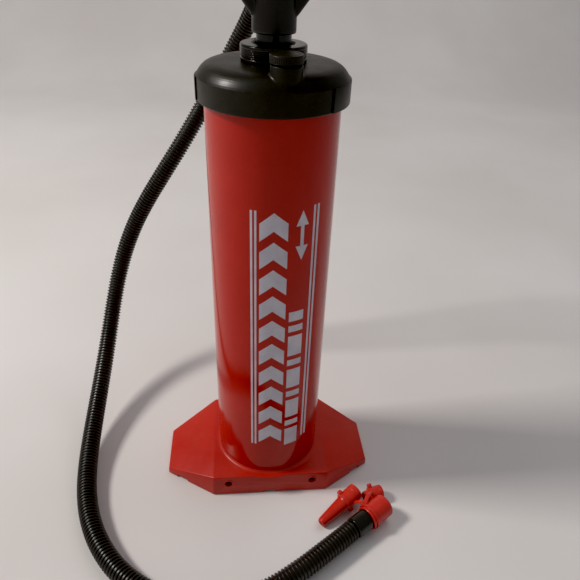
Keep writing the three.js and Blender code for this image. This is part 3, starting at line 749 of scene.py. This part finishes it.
def make_cap():
    prof = [(51.2, 377.6, 0.3), (54.9, 377.6, 0.3), (55.5, 378.3, 0.5), (55.5, 394.0, 0.2)]
    prof += [(r, crown(r)) for r in (54.75, 53.9, 53.0, 52.0, 50.9, 49.7, 48.3, 46.5, 44.5, 42, 38, 32, 24.5)]
    prof += [(17.4, CAP_TOP, 0.3), (17.4, 386.0), (21.5, 386.0), (21.5, 400.7), (37, 400.3), (45.5, 399.4), (46.5, 396), (46.5, 388.2), (51.2, 388.2)]
    cap = lathe("cap_shell", prof, 224)
    for a0 in (-47, 133):
        n = 56
        out = [polar(56.6, a0 + 57 * i / n) for i in range(n + 1)] + [polar(53.0, a0 + 57 * i / n) for i in range(n, -1, -1)]
        pad = bevelled(prism("pad", out, 377.8, 393.9), 0.5, 3, 40)
        boolean(cap, pad, "UNION")
    boss = lathe("boss", [(0, 396), (BOSS_R, 396), (BOSS_R, 408.4, 0.3), (BOSS_R - 0.25, 409.3, 0.35), (6.4, 409.3, 0.2), (6.2, 400), (0, 400)], 96, shift(*BOSS))
    boolean(boss, lathe("clear", [(0, 380), (23.95, 380), (23.95, 415), (0, 415)], 96, raw=True))
    boolean(cap, boss, "UNION")
    boolean(cap, lathe("seat", [(0, 391.4), (10.4, 391.4), (10.4, 398.6), (0, 398.6)], 64, shift(5.2, -38.6), raw=True), "UNION")
    boolean(cap, lathe("bore", [(0, 393.7), (6.2, 393.7), (6.2, 415), (0, 415)], 64, shift(5.2, -40.0), raw=True))
    for a in (-150, -90, -30):
        x, y = polar(3.9, a)
        boolean(cap, lathe("port", [(0, 390), (1.7, 390), (1.7, 395), (0, 395)], 24, shift(4.9 + x, -38.2 + y), raw=True))
    boolean(cap, lathe("pin", [(0, 388), (1.5, 388), (1.5, 395), (0, 395)], 24, shift(4.9, -38.2), raw=True))
    for a in (-90, 5, 175):
        x, y = polar(8.6, a)
        boolean(cap, lathe("hole", [(0, 404.6), (1.5, 404.6), (1.5, 415), (0, 415)], 20, shift(BOSS[0] + x, BOSS[1] + y), raw=True))
    boolean(cap, lathe("rodhole", [(0, 370), (17.4, 370), (17.4, 410), (0, 410)], 96, raw=True))
    # fillet where the boss meets the crown
    verts, faces = [], []
    seg, n, f = 128, 6, 1.5
    rows = []
    for k in range(seg):
        w = 2 * math.pi * k / seg

        def at(rho, dz):
            x, y = BOSS[0] + rho * math.cos(w), BOSS[1] + rho * math.sin(w)
            return (x, y, crown(math.hypot(x, y)) + dz)

        row = [at(BOSS_R - 0.6, -0.6), at(BOSS_R + f, -0.6)]
        for i in range(n + 1):
            b = math.pi / 2 * i / n
            row.append(at(BOSS_R + f * (1 - math.sin(b)), f * (1 - math.cos(b)) + 0.02))
        row.append(at(BOSS_R - 0.6, f))
        rows.append(row)
    m = len(rows[0])
    for row in rows:
        verts += row
    for k in range(seg):
        k2 = (k + 1) % seg
        for i in range(m):
            i2 = (i + 1) % m
            faces.append((k * m + i, k2 * m + i, k2 * m + i2, k * m + i2))
    fil = new_obj("boss_fillet", verts, faces, smooth=50)
    boolean(fil, lathe("clear", [(0, 380), (24.1, 380), (24.1, 415), (0, 415)], 96, raw=True))
    boolean(fil, lathe("round", [(0, 380), (54.9, 380), (54.9, 415), (0, 415)], 160, raw=True), "INTERSECT")
    cap = join("cap_part", [cap, fil], 32)
    return cap


finish_piece(make_cap(), "barrel", BLACK_CAP, ["top_cap"])


def ribbed(r, z, w):
    """Fine upright grip ribs round the vent cover."""
    return r - (0.18 * (0.5 - 0.5 * math.cos(48 * w)) if 411.0 < z < 414.75 and r > 11 else 0)


cover = lathe("cover", [(0, 410.3), (10.0, 410.3, 0.2), (10.9, 410.3, 0.35), (11.3, 410.75, 0.25), (11.3, 411.05), (11.3, 411.3), (11.3, 413.0), (11.3, 414.5), (11.3, 414.78), (11.25, 415.4, 0.35), (10.7, 415.95, 0.3),
                        (9.0, 416.0, 0.1), (8.7, 415.75, 0.1), (8.2, 415.75, 0.1), (7.9, 416.0, 0.1), (0, 416.0)], 288, shift(*BOSS), 3, ribbed)
legs = []
for a in (-90, 5, 175):
    x, y = polar(8.6, a)
    legs.append(lathe("leg", [(0, 405.0), (1.2, 405.0, 0.2), (1.2, 410.6), (0, 410.6)], 20, shift(BOSS[0] + x, BOSS[1] + y)))
finish_piece(join("vent_cover", [cover] + legs), "barrel", BLACK_CAP, ["intake_cover"])

# ------------------------------------------------------------------ gland collar, wiper, bush
collar_prof = [(12.95, 404.4, 0.2), (22.9, 404.4, 0.3), (23.8, 404.8, 0.35), (23.8, 406.3, 0.4), (23.25, 406.7, 0.2), (23.25, 407.0, 0.2), (23.8, 407.4, 0.3)]
zz = 408.0
for i in range(5):
    collar_prof += [(23.8, zz + 0.10, 0.08), (23.42, zz + 0.26, 0.08), (23.42, zz + 0.50, 0.08), (23.8, zz + 0.66, 0.08)]
    zz += 1.08
collar_prof += [(23.8, 414.0, 0.4), (23.4, 415.0, 0.6), (22.5, 415.45, 0.5), (15.6, 415.45, 0.3), (14.9, 415.2, 0.2), (14.9, 412.6), (12.95, 412.6)]
collar = lathe("collar_ring", collar_prof, 192, corner=3)
finish_piece(collar, "barrel", BLACK_SMOOTH, ["gland_collar"])
wiper = lathe("wiper_ring", [(12.8, 414.2, 0.1), (13.4, 412.9, 0.2), (14.6, 412.9, 0.2), (14.6, 415.2, 0.3), (13.8, 415.45, 0.3), (12.8, 415.4, 0.2)], 96)
finish_piece(wiper, "barrel", RUBBER, ["rod_wiper"])
bush = lathe("bush_ring", [(12.85, 383.8, 0.3), (21.2, 383.8, 0.4), (21.2, 385.7, 0.4), (17.1, 385.7, 0.2), (17.1, 403.4, 0.4), (12.85, 403.4, 0.4)], 96)
finish_piece(bush, "barrel", WHITE_BUSH, ["rod_bush"])

# ------------------------------------------------------------------ rod
rod = lathe("rod_tube", [(9.5, 38.0, 0.3), (12.5, 38.0, 0.5), (12.5, 50.7), (15.2, 50.7, 0.4), (15.2, 53.7, 0.4), (12.5, 53.7, 0.3), (12.5, 150), (12.5, 250), (12.5, 350),
                         (12.5, 452.0, 0.4), (9.5, 452.0, 0.3)], 96)
boolean(rod, lathe("pin", [(0, 5), (2.1, 5), (2.1, 14), (0, 14)], 24, place((0, 0, 441), (0, 1, 0)), raw=True))
finish_piece(rod, "plunger", BLACK_ROD, ["pump_rod"])


# ------------------------------------------------------------------ handle
def along_x(name, prof, seg=64, z=475.0, corner=3):
    return lathe(name, prof, seg, Matrix.Translation((0, 0, z)) @ Matrix.Rotation(math.pi / 2, 4, "Y"), corner)


def make_handle():
    parts = [
        lathe("sleeve", [(0, 422), (15.5, 422, 0.6), (15.5, 474, 0), (0, 474)], 96),
        lathe("hub", [(0, 452), (15.5, 452), (18.0, 458, 2), (18.0, 483.6, 2.5), (15.3, 488.2, 2.5), (0, 488.2)], 96),
        along_x("bar", [(0, -66), (13.3, -66), (13.3, 66), (0, 66)], 64),
        lathe("port", [(0, 0), (11.5, 0), (11.5, 29.8, 0.6), (9.4, 29.8), (9.4, 30.2), (0, 30.2)], 64, place((0, 0, 468.0), (0, 1, 0))),
    ]
    web = [(-15.4, 432.6), (15.4, 432.6), (22.7, 442.2), (36.0, 458.6), (49.5, 474), (-49.5, 474), (-36.0, 458.6), (-22.7, 442.2)]
    v = [(x, -6.9, z) for x, z in web] + [(x, 6.9, z) for x, z in web]
    n = len(web)
    f = [tuple(range(n)), tuple(range(n, 2 * n))[::-1]] + [(i, (i + 1) % n, n + (i + 1) % n, n + i) for i in range(n)]
    parts.append(bevelled(new_obj("web", v, f), 1.6, 3, 40))
    body = join("handle_core", parts)
    mod = body.modifiers.new("r", "REMESH")
    mod.mode = "VOXEL"
    mod.voxel_size = 0.75 * MM
    mod.adaptivity = 0.0
    bake(body, 40)
    sm = body.modifiers.new("s", "SMOOTH")
    sm.factor = 0.5
    sm.iterations = 5
    bake(body, 40)
    # bores: rod socket, air way through the rear port, screw hole
    m = place((0, 0, 468.0), (0, 1, 0))
    boolean(body, lathe("socket", [(0, 418), (13.2, 418), (12.8, 422.6), (12.8, 452.3), (9.5, 452.3), (9.5, 474), (0, 474)], 64, raw=True))
    boolean(body, lathe("way", [(0, 0), (7.2, 0), (7.2, 45), (0, 45)], 48, m, raw=True))
    sm441 = place((0, 0, 441), (0, 1, 0))
    boolean(body, lathe("sh", [(0, 8), (2.1, 8), (2.1, 14.2), (3.5, 14.2), (3.5, 20), (0, 20)], 32, sm441, raw=True))
    body.name = "handle_core"
    return tidy(body, 40)


finish_piece(make_handle(), "plunger", BLACK_HANDLE, ["handle_body"])


def make_grips():
    out = []
    for s in (-1, 1):
        prof = [(11.2, 54.0), (13.4, 54.0), (13.4, 57.2, 0.4), (14.0, 57.9, 0.5)]
        x = 61.0
        while x < 86:
            prof += [(14.0, x, 0.35), (13.35, x + 0.7, 0.4), (13.35, x + 1.5, 0.4), (14.0, x + 2.2, 0.35)]
            x += 5.2
        prof += [(14.0, 88.4, 0.4), (13.7, 89.0, 0.25), (11.2, 89.0)]
        m = Matrix.Translation((0, 0, 475.0)) @ Matrix.Rotation(math.pi / 2 * s, 4, "Y")
        out.append(lathe("grip", prof, 96, m, 3))
    out.append(lathe("port_neck", [(7.25, 29.0), (9.35, 29.0), (9.35, 39.4, 0.5), (8.9, 40.0, 0.2), (7.25, 40.0)], 64, place((0, 0, 468.0), (0, 1, 0))))
    return join("handle_grips", out)


finish_piece(make_grips(), "plunger", BLACK_HANDLE)

for side, s in (("left", -1), ("right", 1)):
    m = place((0, 0, 475.0), (s, 0, 0))
    plug = lathe(f"end_plug_{side}", [(0, 92.0), (5.4, 92.0, 0.3), (5.9, 91.5, 0.2), (6.9, 91.5, 0.2), (7.4, 92.0, 0.3), (11.5, 92.0, 1.0), (13.5, 91.2, 0.9), (14.0, 89.9, 0.5),
                                      (14.0, 89.3, 0.2), (10.9, 89.3), (10.9, 75.0, 0.4), (8.6, 75.0, 0.3), (8.6, 89.2), (0, 89.2)], 96, m, 3)
    finish_piece(plug, "plunger", BLACK_SMOOTH, [f"handle_end_plug_{side}"])

SCREW_M = place((0, 0, 441), (0, 1, 0))
pan = lathe("pan_screw", [(0, 9, 0), (1.7, 9.3, 0.2), (1.7, 14.5), (3.1, 14.5, 0.2), (3.1, 15.3, 0.4), (2.3, 16.1, 0.5), (0, 16.2)], 40)
boolean(pan, box("slot", -1.9, 1.9, -0.35, 0.35, 15.2, 17))
boolean(pan, box("slot", -0.35, 0.35, -1.9, 1.9, 15.2, 17))
pan.data.transform(Matrix([[SCREW_M[i][j] * (MM if j == 3 else 1) for j in range(4)] for i in range(4)]))
finish_piece(pan, "plunger", STEEL, ["handle_screw"])


def knurl(r, z, w):
    return r - (0.55 * (0.5 - 0.5 * math.cos(24 * w)) if 31.4 < z < 43.0 and r > 12 else 0)


conn = lathe("connector_nut", [(9.7, 30.2, 0.3), (12.2, 30.2, 0.4), (13.1, 31.1, 0.5), (13.1, 33.0), (13.1, 37.0), (13.1, 41.4), (13.1, 43.5, 0.5), (12.4, 44.5, 0.5), (11.3, 45.2, 0.5), (10.8, 48.0, 0.2), (10.45, 48.3, 0.15), (10.6, 48.9, 0.2),
                               (10.35, 51.3, 0.4), (10.0, 52.0, 0.3), (9.6, 52.0, 0.2), (9.5, 45.0), (7.3, 45.0), (7.3, 42.1), (9.7, 42.1)], 192,
             place((0, 0, 468.0), (0, 1, 0)), 3, knurl)
finish_piece(conn, "plunger", BLACK_SMOOTH, ["hose_connector"])

# ------------------------------------------------------------------ materials on the parts that keep their CAD shape
KEEP = {"black_plastic": BLACK_CAP, "black_gloss": BLACK_ROD, "rubber": RUBBER, "white_plastic": WHITE_BUSH, "steel": STEEL,
        "red_plastic": RED_BASE, "red_gloss": RED_GLOSS, "red_nozzle": RED_NOZZLE, "black_hose": BLACK_HOSE}
for name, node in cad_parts.items():
    if node.hide_render:
        continue
    for s in node.material_slots:
        key = s.material.name.split(".")[0] if s.material else ""
        s.material = KEEP.get(key, RUBBER if any(w in name for w in ("flap_lower", "flap_upper", "seal", "gasket", "bumper", "intake_flap")) else
                              STEEL if "screw" in name else BLACK_CAP)


# ------------------------------------------------------------------ stage and light
def stage():
    k = Nodes("stage_cloth")
    b = k.bsdf
    k.link(k.mix(k.ramp(k.noise(2.2, 3.0, 0.5), 0.35, 0.65), (0.70, 0.665, 0.64, 1), (0.76, 0.735, 0.715, 1)), b.inputs["Base Color"])
    b.inputs["Roughness"].default_value = 0.85
    b.inputs["Specular IOR Level"].default_value = 0.2
    k.link(k.bump(k.noise(3.0, 2.0, 0.5), 0.15, 0.02), b.inputs["Normal"])
    n, rows = 24, []
    ys = [(-2.6, 0.0), (1.5, 0.0)]
    for i in range(1, n + 1):
        a = math.pi / 2 * i / n
        ys.append((1.5 + 0.8 * math.sin(a), 0.8 * (1 - math.cos(a))))
    ys.append((2.3, 3.4))
    verts, faces = [], []
    for x in (-3.2, 3.2):
        verts += [(x * 1000, y * 1000, z * 1000) for y, z in ys]
    m = len(ys)
    for i in range(m - 1):
        faces.append((i, i + 1, m + i + 1, m + i))
    ob = new_obj("studio_floor", verts, faces, smooth=60)
    for v in ob.data.vertices:
        v.co.z -= 0.0002
    if ob.data.polygons[0].normal.z < 0:
        ob.data.flip_normals()
    ob.data.materials.append(k.mat)


def area(name, direction, distance, size, power, colour, target=(0.0, 0.0, 0.15)):
    d = Vector(direction).normalized()
    data = bpy.data.lights.new(name, "AREA")
    data.shape = "RECTANGLE"
    data.size, data.size_y = size
    data.energy = power
    data.color = colour
    ob = bpy.data.objects.new(name, data)
    scene.collection.objects.link(ob)
    ob.location = Vector(target) + d * distance
    ob.rotation_euler = d.to_track_quat("Z", "Y").to_euler()
    return ob


stage()
area("key", (-0.72, 0.05, 0.69), 2.3, (0.42, 0.42), 34.0, (1.0, 0.955, 0.91))
fill = area("top_fill", (0.45, 0.40, 1.0), 2.6, (2.4, 2.0), 15.5, (0.97, 0.96, 1.0))
fill.visible_glossy = False

world = bpy.data.worlds.new("studio")
scene.world = world
world.use_nodes = True
bg = world.node_tree.nodes["Background"]
bg.inputs[0].default_value = (0.95, 0.96, 1.0, 1.0)
bg.inputs[1].default_value = 0.215

scene.view_settings.view_transform = "Standard"
scene.view_settings.look = "None"
scene.view_settings.exposure = 0.0
scene.view_settings.use_curve_mapping = True
curves = scene.view_settings.curve_mapping
curves.black_level = (0.0080, 0.0083, 0.0090)
curves.white_level = (1.0, 1.0, 1.0)
curves.update()

bpy.context.view_layer.update()
